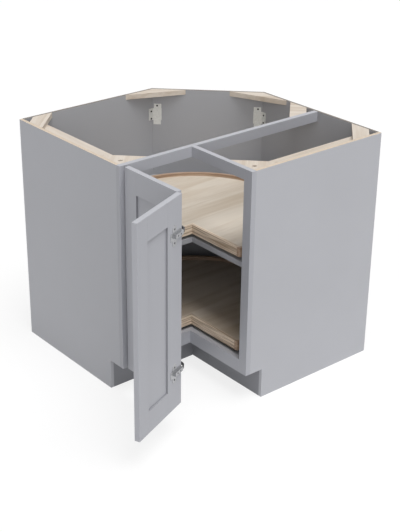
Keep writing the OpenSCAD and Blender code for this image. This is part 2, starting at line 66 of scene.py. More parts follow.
camera = bpy.data.objects.new("camera", bpy.data.cameras.new("camera"))
bpy.context.scene.collection.objects.link(camera)
bpy.context.scene.camera = camera
towards_camera = Vector((
    math.sin(CAMERA_AZIMUTH) * math.cos(CAMERA_RISE),
    -math.cos(CAMERA_AZIMUTH) * math.cos(CAMERA_RISE),
    math.sin(CAMERA_RISE),
))
camera.location = CAMERA_PLACE
camera.rotation_mode = "QUATERNION"
camera.rotation_quaternion = (-towards_camera).to_track_quat("-Z", "Y")
camera.data.sensor_width = SENSOR
camera.data.lens = FOCAL_PIXELS * SENSOR / PICTURE_LONG_SIDE
camera.data.shift_x = (PICTURE_SHORT_SIDE / 2 - CENTRE_ACROSS) / PICTURE_LONG_SIDE
camera.data.shift_y = (CENTRE_DOWN - PICTURE_LONG_SIDE / 2) / PICTURE_LONG_SIDE
camera.data.clip_start = NEAREST_SEEN
camera.data.clip_end = FARTHEST_SEEN

# ---------------------------------------------------------------------------
# Studio. A white paper sweep under an even sky, with one large soft lamp above
# and a wide one low at the front right, so that the right side is lighter than
# the left and some light reaches the lower tray.
SKY_STRENGTH = 0.26
LAMP_STRENGTH = 2.55
LAMP_FROM = Vector((0.32, 0.01, 0.95))
LAMP_SPREAD = math.radians(38)
FILL_STRENGTH = 1.1
FILL_FROM = Vector((0.75, -0.61, 0.28))
FILL_SPREAD = math.radians(60)
SWEEP_REACH = 9.0
SHADOW_FADE = 0.8
PAPER_WHITE = (248, 248, 248)
PAPER_BOUNCE = (188, 188, 189)
PAPER_ROUGHNESS = 0.9
WHITE = (1, 1, 1, 1)
COLOUR_A, COLOUR_B, COLOUR_OUT = 6, 7, 2  # the colour sockets of a Mix node


def tint(red, green, blue):
    """A colour given as it looks on a screen, 0 to 255, as the linear values a shader takes."""
    def linear(v):
        v /= 255
        return v / 12.92 if v <= 0.04045 else ((v + 0.055) / 1.055) ** 2.4
    return (linear(red), linear(green), linear(blue), 1.0)


def add(tree, kind, **settings):
    """One node in a shader or geometry tree, with its settings and its unlinked inputs."""
    made = tree.nodes.new(kind)
    for key, value in settings.items():
        if key in made.bl_rna.properties:
            setattr(made, key, value)
        else:
            made.inputs[key.replace("_", " ")].default_value = value
    return made


def join(tree, *ends):
    """Links sockets two by two."""
    for out, into in zip(ends[::2], ends[1::2]):
        tree.links.new(out, into)


def looked_at(tree):
    """A socket that is 1 where the eye, a gloss or clear glass looks, and 0 where light only bounces."""
    ray = add(tree, "ShaderNodeLightPath")
    eye_or_gloss = add(tree, "ShaderNodeMath", operation="MAXIMUM")
    any_look = add(tree, "ShaderNodeMath", operation="MAXIMUM")
    join(
        tree,
        ray.outputs["Is Camera Ray"], eye_or_gloss.inputs[0],
        ray.outputs["Is Glossy Ray"], eye_or_gloss.inputs[1],
        eye_or_gloss.outputs[0], any_look.inputs[0],
        ray.outputs["Is Transmission Ray"], any_look.inputs[1],
    )
    return any_look.outputs[0]


scene = bpy.context.scene
scene.view_settings.view_transform = "Standard"
scene.world = bpy.data.worlds.new("sky")
scene.world.use_nodes = True
sky = scene.world.node_tree
sky.nodes.clear()
strength = add(sky, "ShaderNodeMapRange", To_Min=SKY_STRENGTH, To_Max=1.0)
sky_light = add(sky, "ShaderNodeBackground", Color=WHITE)
sky_out = add(sky, "ShaderNodeOutputWorld")
join(
    sky,
    looked_at(sky), strength.inputs["Value"],
    strength.outputs["Result"], sky_light.inputs["Strength"],
    sky_light.outputs[0], sky_out.inputs["Surface"],
)

for label, energy, spread, way in (
    ("lamp", LAMP_STRENGTH, LAMP_SPREAD, LAMP_FROM),
    ("fill", FILL_STRENGTH, FILL_SPREAD, FILL_FROM),
):
    lamp = bpy.data.objects.new(label, bpy.data.lights.new(label, "SUN"))
    scene.collection.objects.link(lamp)
    lamp.data.energy = energy
    lamp.data.angle = spread
    lamp.rotation_mode = "QUATERNION"
    lamp.rotation_quaternion = way.to_track_quat("Z", "Y")

sweep_mesh = bpy.data.meshes.new("sweep")
sweep_mesh.from_pydata(
    [(SWEEP_REACH * x, SWEEP_REACH * y, 0) for x, y in ((-1, -1), (1, -1), (1, 1), (-1, 1))],
    [],
    [(0, 1, 2, 3)],
)
sweep = bpy.data.objects.new("sweep", sweep_mesh)
scene.collection.objects.link(sweep)
sweep_white = bpy.data.materials.new("sweep_white")
sweep_white.use_nodes = True
paper = sweep_white.node_tree
paper_skin = paper.nodes["Principled BSDF"]
paper_skin.inputs["Roughness"].default_value = PAPER_ROUGHNESS
page = add(paper, "ShaderNodeMix", data_type="RGBA")
page.inputs[COLOUR_A].default_value = tint(*PAPER_BOUNCE)
page.inputs[COLOUR_B].default_value = tint(*PAPER_WHITE)
bare_light = add(paper, "ShaderNodeEmission", Color=WHITE, Strength=1.0)
share = add(paper, "ShaderNodeMath", operation="MULTIPLY")
share.inputs[1].default_value = SHADOW_FADE
fade = add(paper, "ShaderNodeMixShader")
paper_look = looked_at(paper)
join(
    paper,
    paper_look, page.inputs["Factor"],
    page.outputs[COLOUR_OUT], paper_skin.inputs["Base Color"],
    paper_look, share.inputs[0],
    share.outputs[0], fade.inputs["Fac"],
    paper_skin.outputs[0], fade.inputs[1],
    bare_light.outputs[0], fade.inputs[2],
    fade.outputs[0], paper.nodes["Material Output"].inputs["Surface"],
)
sweep_mesh.materials.append(sweep_white)

# ---------------------------------------------------------------------------
# End panels. Boards of wood sprayed in satin grey on both faces, with the bare
# edge of the wood along the top; grooves inside hold the floor and the shelf.
CABINET_TOP = cad_high.z
BARE_EDGE = 0.0006
EASED_EDGE = 0.0009
EASE_STEPS = 2
SHARP_ANGLE = math.radians(40)
WELD_REACH = 0.00002
SIDE_GREY = (181, 182, 187)
BARE_WOOD = (206, 189, 168)
NOISE_LOW, NOISE_HIGH = 0.3, 0.7
CLOUD_SCALE = 3.5
CLOUD_SHADES = (0.975, 1.02)
EDGE_GRAIN_SCALE = 140.0
EDGE_GRAIN_SHADES = (0.86, 1.06)
SPRAY_SCALE = 900.0
SPRAY_RELIEF = 0.0004
SPRAY_STRENGTH = 0.035
PAINT_GLOSS = (-0.03, 0.05)  # how far the roughness swings either way


def plain_finish(name):
    """A new material, its tree and its shader."""
    made = bpy.data.materials.new(name)
    made.use_nodes = True
    return made, made.node_tree, made.node_tree.nodes["Principled BSDF"]


def spread_noise(tree, low, high):
    """Maps the range in which nearly all of a noise lies to values from low to high."""
    return add(
        tree, "ShaderNodeMapRange", From_Min=NOISE_LOW, From_Max=NOISE_HIGH, To_Min=low, To_Max=high,
    )


def toned(tree):
    """Multiplies colour A by colour B."""
    return add(tree, "ShaderNodeMix", data_type="RGBA", blend_type="MULTIPLY", Factor=1.0)


def satin_paint(name, shade, roughness=0.42, bare_top=None):
    """Sprayed satin paint. Where bare_top is given, faces at the top of the cabinet show that wood."""
    made, tree, skin = plain_finish(name)
    place = add(tree, "ShaderNodeTexCoord")
    clouds = add(tree, "ShaderNodeTexNoise", Scale=CLOUD_SCALE, Detail=3.0, Roughness=0.55)
    cloud_shade = spread_noise(tree, *CLOUD_SHADES)
    paint = toned(tree)
    paint.inputs[COLOUR_A].default_value = tint(*shade)
    join(
        tree,
        place.outputs["Object"], clouds.inputs["Vector"],
        clouds.outputs["Fac"], cloud_shade.inputs["Value"],
        cloud_shade.outputs["Result"], paint.inputs[COLOUR_B],
    )
    colour = paint.outputs[COLOUR_OUT]
    if bare_top:
        parts = add(tree, "ShaderNodeSeparateXYZ")
        above = add(tree, "ShaderNodeMath", operation="GREATER_THAN")
        above.inputs[1].default_value = CABINET_TOP - BARE_EDGE
        grain = add(tree, "ShaderNodeTexNoise", Scale=EDGE_GRAIN_SCALE, Detail=4.0, Roughness=0.6)
        grain_shade = spread_noise(tree, *EDGE_GRAIN_SHADES)
        wood = toned(tree)
        wood.inputs[COLOUR_A].default_value = tint(*bare_top)
        pick = add(tree, "ShaderNodeMix", data_type="RGBA")
        join(
            tree,
            place.outputs["Object"], parts.inputs[0],
            parts.outputs["Z"], above.inputs[0],
            place.outputs["Object"], grain.inputs["Vector"],
            grain.outputs["Fac"], grain_shade.inputs["Value"],
            grain_shade.outputs["Result"], wood.inputs[COLOUR_B],
            above.outputs[0], pick.inputs["Factor"],
            colour, pick.inputs[COLOUR_A],
            wood.outputs[COLOUR_OUT], pick.inputs[COLOUR_B],
        )
        colour = pick.outputs[COLOUR_OUT]
    spray = add(tree, "ShaderNodeTexNoise", Scale=SPRAY_SCALE, Detail=2.0, Roughness=0.5)
    worn = spread_noise(tree, roughness + PAINT_GLOSS[0], roughness + PAINT_GLOSS[1])
    relief = add(tree, "ShaderNodeBump", Strength=SPRAY_STRENGTH, Distance=SPRAY_RELIEF)
    join(
        tree,
        colour, skin.inputs["Base Color"],
        place.outputs["Object"], spray.inputs["Vector"],
        spray.outputs["Fac"], relief.inputs["Height"],
        relief.outputs["Normal"], skin.inputs["Normal"],
        clouds.outputs["Fac"], worn.inputs["Value"],
        worn.outputs["Result"], skin.inputs["Roughness"],
    )
    return made


def dress(finish, *names, ease=EASED_EDGE):
    """Gives CAD nodes a finish, and eases their sharp edges as sanding does."""
    for name in names:
        board = node[name]
        board.data.materials.clear()
        board.data.materials.append(finish)
        if ease:
            weld = board.modifiers.new("weld", "WELD")
            weld.merge_threshold = WELD_REACH
            bevel = board.modifiers.new("ease", "BEVEL")
            bevel.width = ease
            bevel.segments = EASE_STEPS
            bevel.limit_method = "ANGLE"
            bevel.angle_limit = SHARP_ANGLE
            bevel.harden_normals = False


side_paint = satin_paint("side_paint", SIDE_GREY, bare_top=BARE_WOOD)
dress(side_paint, "left_end_panel", "right_end_panel")

# ---------------------------------------------------------------------------
# Face frame. Stiles and rails of solid wood, joined flush; their grey is painted
# darker than the end panels' as painted shade. The stretcher behind them gets the same finish.
# painted shade: the frame grey is darker than the end panels' grey
FRAME_SHADED_GREY = (172, 173, 179)

frame_paint = satin_paint("frame_paint", FRAME_SHADED_GREY, roughness=0.38)
dress(
    frame_paint, "left_stile", "right_stile", "left_top_rail", "right_top_rail",
    "left_bottom_rail", "right_bottom_rail", "stretcher",
)

# ---------------------------------------------------------------------------
# Back panels, floor and shelf. Boards with a plain grey face, let into the end
# panels; their raw edge shows as a fine dark line along the top of the back.
# painted shade: the inside grey is darker than the end panels' grey, for the shade inside the cabinet
INSIDE_SHADED_GREY = (163, 164, 168)
RAW_BACK_EDGE = (120, 112, 104)
THIN_EASE = 0.0004

inside_paint = satin_paint("inside_paint", INSIDE_SHADED_GREY, roughness=0.5, bare_top=RAW_BACK_EDGE)
dress(
    inside_paint, "left_back_panel", "rear_back_panel", "diagonal_back_panel",
    "floor_panel", "fixed_shelf", ease=THIN_EASE,
)

# ---------------------------------------------------------------------------
# Toe boards. Painted boards fixed behind the notches of the end panels, set
# back under the doors; their grey is painted darker as painted shade, for the little light that gets there.
TOE_SHADED_GREY = (140, 141, 146)
TOE_EASE = 0.0005

toe_paint = satin_paint("toe_paint", TOE_SHADED_GREY, roughness=0.5)
dress(toe_paint, "left_toe_board", "right_toe_board", ease=TOE_EASE)

# ---------------------------------------------------------------------------
# Corner blocks, cleats and strips. Unfinished pale hardwood, planed and glued
# in place, with the grain along each piece.
BLOCK_PALE = (208, 198, 186)
BLOCK_DARK = (188, 173, 156)
BLOCK_EASE = 0.0006
CUT_ANGLE = math.radians(45)
PALE_FROM = 0.56
STREAK_REACH = 0.2
PORES_ALONG, PORES_ACROSS = 9, 22
PORE_LOW, PORE_HIGH = 0.32, 0.6
PORE_DEPTH = 0.07
PORE_LIGHT = 1.015
PLANED_RELIEF = 0.0003
PLANED_STRENGTH = 0.12
WOOD_GLOSS = (0.08, -0.04)


def grained_wood(name, pale, dark, turn=0.0, streak=1.0, fine=1.0, roughness=0.55, across=26.0, along=1.6):
    """Wood whose grain runs along X, turned about Z by an angle. Broad streaks, fine pores and relief."""
    made, tree, skin = plain_finish(name)
    place = add(tree, "ShaderNodeTexCoord")
    lay = add(tree, "ShaderNodeMapping", Rotation=(0, 0, turn))
    stretch = add(tree, "ShaderNodeMapping", Scale=(along, across, across))
    broad = add(tree, "ShaderNodeTexNoise", Scale=1.0, Detail=5.0, Roughness=0.62, Distortion=0.6)
    hair = add(tree, "ShaderNodeMapping")
    hair.inputs["Scale"].default_value = (along * PORES_ALONG, across * PORES_ACROSS, across * PORES_ACROSS)
    pores = add(tree, "ShaderNodeTexNoise", Scale=1.0, Detail=3.0, Roughness=0.6)
    ramp = add(tree, "ShaderNodeValToRGB")
    ramp.color_ramp.elements[0].position = 0.5 - STREAK_REACH * streak
    ramp.color_ramp.elements[0].color = tint(*dark)
    ramp.color_ramp.elements[1].position = PALE_FROM
    ramp.color_ramp.elements[1].color = tint(*pale)
    pore_shade = add(tree, "ShaderNodeMapRange", From_Min=PORE_LOW, From_Max=PORE_HIGH, To_Max=PORE_LIGHT)
    pore_shade.inputs["To Min"].default_value = 1 - PORE_DEPTH * fine
    both = toned(tree)
    relief = add(tree, "ShaderNodeBump", Strength=PLANED_STRENGTH, Distance=PLANED_RELIEF)
    gloss = spread_noise(tree, roughness + WOOD_GLOSS[0], roughness + WOOD_GLOSS[1])
    join(
        tree,
        place.outputs["Object"], lay.inputs["Vector"],
        lay.outputs["Vector"], stretch.inputs["Vector"],
        lay.outputs["Vector"], hair.inputs["Vector"],
        stretch.outputs["Vector"], broad.inputs["Vector"],
        hair.outputs["Vector"], pores.inputs["Vector"],
        broad.outputs["Fac"], ramp.inputs["Fac"],
        pores.outputs["Fac"], pore_shade.inputs["Value"],
        ramp.outputs["Color"], both.inputs[COLOUR_A],
        pore_shade.outputs["Result"], both.inputs[COLOUR_B],
        both.outputs[COLOUR_OUT], skin.inputs["Base Color"],
        pores.outputs["Fac"], relief.inputs["Height"],
        relief.outputs["Normal"], skin.inputs["Normal"],
        broad.outputs["Fac"], gloss.inputs["Value"],
        gloss.outputs["Result"], skin.inputs["Roughness"],
    )
    return made


def block_wood(name, turn):
    """The pale hardwood of the blocks, its grain turned to lie along the piece."""
    return grained_wood(name, BLOCK_PALE, BLOCK_DARK, turn=turn, streak=0.8, fine=0.7)


dress(block_wood("wood_along_left", 0.0), "left_cleat", ease=BLOCK_EASE)
dress(block_wood("wood_along_right", math.radians(90)), "right_cleat", "support_strips", ease=BLOCK_EASE)
dress(
    block_wood("wood_cut_one_way", CUT_ANGLE),
    "left_front_block", "right_front_block", "left_rear_block", "right_rear_block", ease=BLOCK_EASE,
)
dress(
    block_wood("wood_cut_other_way", -CUT_ANGLE),
    "stretcher_block", "left_diagonal_block", "right_diagonal_block", ease=BLOCK_EASE,
)

# ---------------------------------------------------------------------------
# Trays. Each has a round floor of pale oak with soft brown streaks, a rim bent
# from a strip and glued round it, and two straight lips mitred at the notch.
FLOOR_PALE = (208, 198, 184)
FLOOR_DARK = (182, 165, 144)
# painted light: the lower tray's floor is a little lighter than the upper one's, for the shade of the lower
# compartment
LOWER_LIT_PALE = (212, 198, 182)
LOWER_LIT_DARK = (186, 168, 146)
RIM_PALE = (184, 158, 136)
RIM_DARK = (147, 120, 98)
LIP_PALE = (230, 213, 192)
LIP_DARK = (170, 148, 125)
TRAY_AXIS = Vector((0.475, -0.475, 0))
TRAY_RADIUS = 0.37
NOTCH_TURN = math.radians(-135)
STRIP_ALONG = 5.0
STRIP_MIDDLE = 0.48
STRIP_ROUGHNESS = 0.5


def tray_edge_wood(name, pale, dark, bent, fine=150.0, sharp=0.14):
    """Strip wood whose grain follows the piece: round the tray axis if bent, else along each lip."""
    made, tree, skin = plain_finish(name)
    place = add(tree, "ShaderNodeTexCoord")
    centre = add(tree, "ShaderNodeVectorMath", operation="SUBTRACT")
    centre.inputs[1].default_value = TRAY_AXIS
    turned = add(tree, "ShaderNodeMapping")
    parts = add(tree, "ShaderNodeSeparateXYZ")
    follow = add(tree, "ShaderNodeCombineXYZ")
    join(
        tree,
        place.outputs["Object"], centre.inputs[0],
        centre.outputs[0], turned.inputs["Vector"],
        turned.outputs["Vector"], parts.inputs[0],
        parts.outputs["Z"], follow.inputs["Z"],
    )
    if bent:
        # the angle jumps where the quarter is cut out, so no seam shows
        turned.inputs["Rotation"].default_value = (0, 0, NOTCH_TURN)
        angle = add(tree, "ShaderNodeMath", operation="ARCTAN2")
        arc = add(tree, "ShaderNodeMath", operation="MULTIPLY")
        arc.inputs[1].default_value = TRAY_RADIUS
        out_x = add(tree, "ShaderNodeMath", operation="MULTIPLY")
        out_y = add(tree, "ShaderNodeMath", operation="MULTIPLY")
        total = add(tree, "ShaderNodeMath", operation="ADD")
        reach = add(tree, "ShaderNodeMath", operation="SQRT")
        join(
            tree,
            parts.outputs["Y"], angle.inputs[0],
            parts.outputs["X"], angle.inputs[1],
            angle.outputs[0], arc.inputs[0],
            arc.outputs[0], follow.inputs["X"],
            parts.outputs["X"], out_x.inputs[0],
            parts.outputs["X"], out_x.inputs[1],
            parts.outputs["Y"], out_y.inputs[0],
            parts.outputs["Y"], out_y.inputs[1],
            out_x.outputs[0], total.inputs[0],
            out_y.outputs[0], total.inputs[1],
            total.outputs[0], reach.inputs[0],
            reach.outputs[0], follow.inputs["Y"],
        )
    else:
        # along is the larger of x and -y, across the smaller, whichever lip it is
        flip = add(tree, "ShaderNodeMath", operation="MULTIPLY")
        flip.inputs[1].default_value = -1.0
        along = add(tree, "ShaderNodeMath", operation="MAXIMUM")
        across = add(tree, "ShaderNodeMath", operation="MINIMUM")
        join(
            tree,
            parts.outputs["Y"], flip.inputs[0],
            parts.outputs["X"], along.inputs[0],
            flip.outputs[0], along.inputs[1],
            parts.outputs["X"], across.inputs[0],
            flip.outputs[0], across.inputs[1],
            along.outputs[0], follow.inputs["X"],
            across.outputs[0], follow.inputs["Y"],
        )
    stretch = add(tree, "ShaderNodeMapping", Scale=(STRIP_ALONG, fine, fine))
    broad = add(tree, "ShaderNodeTexNoise", Scale=1.0, Detail=5.0, Roughness=0.6, Distortion=0.4)
    ramp = add(tree, "ShaderNodeValToRGB")
    ramp.color_ramp.elements[0].position = STRIP_MIDDLE - sharp
    ramp.color_ramp.elements[0].color = tint(*dark)
    ramp.color_ramp.elements[1].position = STRIP_MIDDLE + sharp
    ramp.color_ramp.elements[1].color = tint(*pale)
    relief = add(tree, "ShaderNodeBump", Strength=PLANED_STRENGTH, Distance=PLANED_RELIEF)
    join(
        tree,
        follow.outputs[0], stretch.inputs["Vector"],
        stretch.outputs["Vector"], broad.inputs["Vector"],
        broad.outputs["Fac"], ramp.inputs["Fac"],
        ramp.outputs["Color"], skin.inputs["Base Color"],
        broad.outputs["Fac"], relief.inputs["Height"],
        relief.outputs["Normal"], skin.inputs["Normal"],
    )
    skin.inputs["Roughness"].default_value = STRIP_ROUGHNESS
    return made


bent_wood = tray_edge_wood("bent_rim_wood", RIM_PALE, RIM_DARK, bent=True)
lip_wood = tray_edge_wood("lip_wood", LIP_PALE, LIP_DARK, bent=False, fine=210.0, sharp=0.07)
for level, pale, dark in (("upper", FLOOR_PALE, FLOOR_DARK), ("lower", LOWER_LIT_PALE, LOWER_LIT_DARK)):
    floor_wood = grained_wood(
        level + "_floor_wood", pale, dark, turn=math.radians(90),
        streak=1.0, fine=0.6, roughness=0.45, across=11.0, along=1.1,
    )
    dress(floor_wood, level + "_tray_floor", ease=0)
    dress(bent_wood, level + "_tray_rim", ease=0)
    dress(lip_wood, level + "_tray_lips", ease=0)

# ---------------------------------------------------------------------------
# Doors. Two leaves of grooved stiles and rails round a flat panel, sprayed in
# satin grey on both faces; they hang beside the left stile and fold together.
# painted shade: the door grey is a little darker than the end panels' grey, for the lesser light on the
# leaves
DOOR_SHADED_GREY = (176, 177, 183)
DOOR_EASE = 0.0007
DOOR_PIVOT = Vector((0.6262, -0.8935, 0))
DOOR_TURN = math.radians(-90)
FOLD_LINE = Vector((0.6326, -0.6326, 0))
FOLD_TURN = math.radians(22)
RECESS_SIDES = (-0.8424, -0.7211)
RECESS_ENDS = (0.1973, 0.7913)
# painted shade in the recess corners: how dark, how far onto the panel, and where it fades out on the frame
CORNER_SHADE = 0.65
CORNER_REACH = 0.003
EDGE_FROM, EDGE_TO = 0.0002, 0.0008


def turned_about(centre, angle, point, facing):
    """A point turned about an upright line through the centre, and the way that it faces."""
    turn = Matrix.Rotation(angle, 3, "Z")
    return centre + turn @ (point - centre), turn @ facing


def on_left_door(point, facing):
    """From a place on the closed left door to where it is as the photograph shows the door, open."""
    return turned_about(DOOR_PIVOT, DOOR_TURN, point, facing)


def other_wing(point, facing):
    """The same place mirrored to the right wing."""
    return Vector((-point.y, -point.x, point.z)), Vector((-facing.y, -facing.x, facing.z))


def on_right_door(point, facing):
    """From a place given on the left door to the like place on the right one, open and folded."""
    return on_left_door(*turned_about(FOLD_LINE, FOLD_TURN, *other_wing(point, facing)))


def shade_corner(paint, centre, across):
    """Paints shade into the paint colour along the inside corner between a door's frame and its panel,
    where the recess wall falls in shadow.
    """
    tree = paint.node_tree
    skin = tree.nodes["Principled BSDF"]
    sprayed = skin.inputs["Base Color"].links[0].from_socket
    place = add(tree, "ShaderNodeTexCoord")
    from_centre = add(tree, "ShaderNodeVectorMath", operation="SUBTRACT")
    from_centre.inputs[1].default_value = centre
    sideways = add(tree, "ShaderNodeVectorMath", operation="DOT_PRODUCT")
    sideways.inputs[1].default_value = across
    parts = add(tree, "ShaderNodeSeparateXYZ")
    past_either = add(tree, "ShaderNodeMath", operation="MAXIMUM")
    on_panel = add(tree, "ShaderNodeMapRange", From_Min=-CORNER_REACH, From_Max=0.0, To_Min=1.0)
    on_panel.inputs["To Max"].default_value = CORNER_SHADE
    on_frame = add(tree, "ShaderNodeMapRange", From_Min=EDGE_FROM, From_Max=EDGE_TO, To_Max=1.0)
    on_frame.inputs["To Min"].default_value = CORNER_SHADE
    least = add(tree, "ShaderNodeMath", operation="MAXIMUM")
    shaded = toned(tree)
    join(
        tree,
        place.outputs["Object"], from_centre.inputs[0],
        from_centre.outputs[0], sideways.inputs[0],
        from_centre.outputs[0], parts.inputs[0],
    )
    measures = ((sideways.outputs["Value"], RECESS_SIDES), (parts.outputs["Z"], RECESS_ENDS))
    for which, (measure, edges) in enumerate(measures):
        away = add(tree, "ShaderNodeMath", operation="ABSOLUTE")
        past = add(tree, "ShaderNodeMath", operation="SUBTRACT")
        past.inputs[1].default_value = (edges[1] - edges[0]) / 2
        join(
            tree,
            measure, away.inputs[0],
            away.outputs[0], past.inputs[0],
            past.outputs[0], past_either.inputs[which],
        )
    join(
        tree,
        past_either.outputs[0], on_panel.inputs["Value"],
        past_either.outputs[0], on_frame.inputs["Value"],
        on_panel.outputs["Result"], least.inputs[0],
        on_frame.outputs["Result"], least.inputs[1],
        sprayed, shaded.inputs[COLOUR_A],
        least.outputs[0], shaded.inputs[COLOUR_B],
        shaded.outputs[COLOUR_OUT], skin.inputs["Base Color"],
    )


recess_middle = Vector((DOOR_PIVOT.x, sum(RECESS_SIDES) / 2, sum(RECESS_ENDS) / 2))
for leaf, placed in (("left", on_left_door), ("right", on_right_door)):
    door_paint = satin_paint(leaf + "_door_paint", DOOR_SHADED_GREY, roughness=0.4)
    # painted shade along the inside corners of this leaf's recess
    shade_corner(door_paint, *placed(recess_middle, Vector((0, 1, 0))))
    dress(
        door_paint, leaf + "_door_outer_stile", leaf + "_door_fold_stile", leaf + "_door_rails",
        ease=DOOR_EASE,
    )
    dress(door_paint, leaf + "_door_panel", ease=0)

# ---------------------------------------------------------------------------
# Bearings, clips and hinges. Pressed steel, zinc or nickel plated, with a faint
# mottle in the plating; screws hold them to the wood.
ZINC = (205, 207, 210)
CLIP_ZINC = (226, 227, 224)
NICKEL = (180, 181, 183)
# painted shade: the hinge links and the door screws take a darkened nickel for the dark marks round the
# hinges
SHADE_DARK_NICKEL = (112, 112, 115)
MOTTLE_SCALE = 180.0
MOTTLE_SHADES = (0.88, 1.04)
PLATING_RELIEF = 0.0002
PLATING_STRENGTH = 0.05
PLATING_GLOSS = (-0.06, 0.1)


def zinc_plate(name, shade, roughness=0.34, metal=1.0):
    """Plated steel; metal is below 1 where the plating has gone dull."""
    made, tree, skin = plain_finish(name)
    place = add(tree, "ShaderNodeTexCoord")
    mottle = add(tree, "ShaderNodeTexNoise", Scale=MOTTLE_SCALE, Detail=3.0, Roughness=0.6)
    mottle_shade = spread_noise(tree, *MOTTLE_SHADES)
    plating = toned(tree)
    plating.inputs[COLOUR_A].default_value = tint(*shade)
    gloss = spread_noise(tree, roughness + PLATING_GLOSS[0], roughness + PLATING_GLOSS[1])
    relief = add(tree, "ShaderNodeBump", Strength=PLATING_STRENGTH, Distance=PLATING_RELIEF)
    join(
        tree,
        place.outputs["Object"], mottle.inputs["Vector"],
        mottle.outputs["Fac"], mottle_shade.inputs["Value"],
        mottle_shade.outputs["Result"], plating.inputs[COLOUR_B],
        plating.outputs[COLOUR_OUT], skin.inputs["Base Color"],
        mottle.outputs["Fac"], gloss.inputs["Value"],
        gloss.outputs["Result"], skin.inputs["Roughness"],
        mottle.outputs["Fac"], relief.inputs["Height"],
        relief.outputs["Normal"], skin.inputs["Normal"],
    )
    skin.inputs["Metallic"].default_value = metal
    return made


zinc = zinc_plate("zinc", ZINC)
dull_zinc = zinc_plate("dull_zinc", CLIP_ZINC, roughness=0.5, metal=0.5)
nickel = zinc_plate("nickel", NICKEL, roughness=0.3)
shade_dark_nickel = zinc_plate("shade_dark_nickel", SHADE_DARK_NICKEL, roughness=0.26)
dress(
    zinc, "upper_bearing_base", "lower_bearing_base", "bearing_balls",
    "upper_bearing_plate", "lower_bearing_plate", ease=0,
)
dress(dull_zinc, "left_corner_clip", "right_corner_clip", ease=0)
dress(nickel, "door_hinge_arms", "door_hinge_cups", "fold_hinge_cups", "fold_hinge_arms", ease=0)
dress(shade_dark_nickel, "door_hinge_links", "fold_hinge_links", ease=0)

# ---------------------------------------------------------------------------
# Pressed ribs of the clips. The press that makes the two corner clips leaves a
# raised rib round the middle of each, which stiffens the thin steel.
CLIP_CORNER = Vector((0.009, -0.313728, 0.774))
CLIP_THICKNESS = 0.002
DIAGONAL = Vector((1, 1, 0)).normalized()
INTO_ROOM = Vector((1, -1, 0)).normalized()
UP = Vector((0, 0, 1))
RIB_FROM, RIB_TO = 0.0085, 0.0305
RIB_BOTTOM, RIB_TOP = -0.0165, 0.0175
RIB_WIDTH = 0.0022
RIB_RISE = 0.0013
RIB_SINK = 0.0001
RIB_CORNERS = ((0, 0), (1, 0), (1, 1), (0, 1))
RIB_PROFILE = ((0, -RIB_SINK), (0.3, RIB_RISE), (0.7, RIB_RISE), (1, -RIB_SINK))


def pressed_rib(shape, flip):
    """One closed rectangular rib, on the left clip or mirrored on the right one."""
    rings = []
    for inset, rise in RIB_PROFILE:
        ring = []
        for along, up in RIB_CORNERS:
            away = RIB_FROM + along * (RIB_TO - RIB_FROM) + (1 - 2 * along) * inset * RIB_WIDTH
            height = RIB_BOTTOM + up * (RIB_TOP - RIB_BOTTOM) + (1 - 2 * up) * inset * RIB_WIDTH
            out = CLIP_THICKNESS + rise
            point = CLIP_CORNER + away * DIAGONAL + out * INTO_ROOM + height * UP
            ring.append(shape.verts.new(other_wing(point, INTO_ROOM)[0] if flip else point))
        rings.append(ring)
    for ring, following in zip(rings, rings[1:] + rings[:1]):
        for corner in range(len(ring)):
            shape.faces.new((
                ring[corner], ring[corner - 1], following[corner - 1], following[corner],
            ))


ribs = bmesh.new()
pressed_rib(ribs, flip=False)
pressed_rib(ribs, flip=True)
bmesh.ops.recalc_face_normals(ribs, faces=ribs.faces)
rib_mesh = bpy.data.meshes.new("clip_ribs")
ribs.to_mesh(rib_mesh)
ribs.free()
rib_mesh.materials.append(dull_zinc)
clip_ribs = bpy.data.objects.new("clip_ribs", rib_mesh)
scene.collection.objects.link(clip_ribs)
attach(clip_ribs, "cabinet")

# ---------------------------------------------------------------------------
# Screws. Domed heads with a cross slot, turned in by hand, hold the clips,
# hinge arms, cups and bearing plates; those of the clips are black as painted shade for the dark holes, and
# those on the doors are darkened nickel as painted shade.
SHADE_BLACK = (58, 57, 60)
HEAD_WIDTH, HEAD_HEIGHT = 0.008, 0.0016
CLIP_HEAD_WIDTH = 0.0075
HEAD_SEGMENTS, HEAD_RINGS = 20, 10
HEAD_SINK = 0.0003
FOOT_BLOCK = Vector((0.05, 0.05, 0.02))
SLOT_LENGTH, SLOT_WIDTH, SLOT_DEPTH = 0.62, 0.17, 1.3  # shares of the head's width and height
FLOAT_MAX, FLOAT_OUT = 3, 1  # the number sockets of a Random Value node
SMALL_HEAD = 0.85
ALONG_WALL = Vector((0, 1, 0))
FROM_WALL = Vector((1, 0, 0))
CLIP_EAR_SCREWS = (-0.018, 0.012)
CLIP_EAR_REACH = 0.008
CLIP_TONGUE_REACH = 0.018
CLIP_TONGUE_RISE = 0.035
HINGE_HEIGHTS = (0.2523, 0.7463)
HINGE_ARM_SCREW = Vector((0.6001, -0.8753, 0))
HINGE_ARM_SPACING = 0.0143
CUP_FACE = 0.6116
CUP_CENTRES = (-0.8799, -0.6556)
CUP_SPACING = 0.026
FOLD_PLATE_SCREW = Vector((0.6114, -0.6801, 0))
FOLD_PLATE_SPACING = 0.0235
FOLD_ARM_FACE = 0.603
FOLD_ARM_SCREWS = (-0.6531, -0.6711)
SHELF_TOP = 0.5197
FLOOR_TOP = 0.156
BEARING_DEPTH = 0.0163
PLATE_THICKNESS = 0.0015
PLATE_SCREW_AT = 0.078


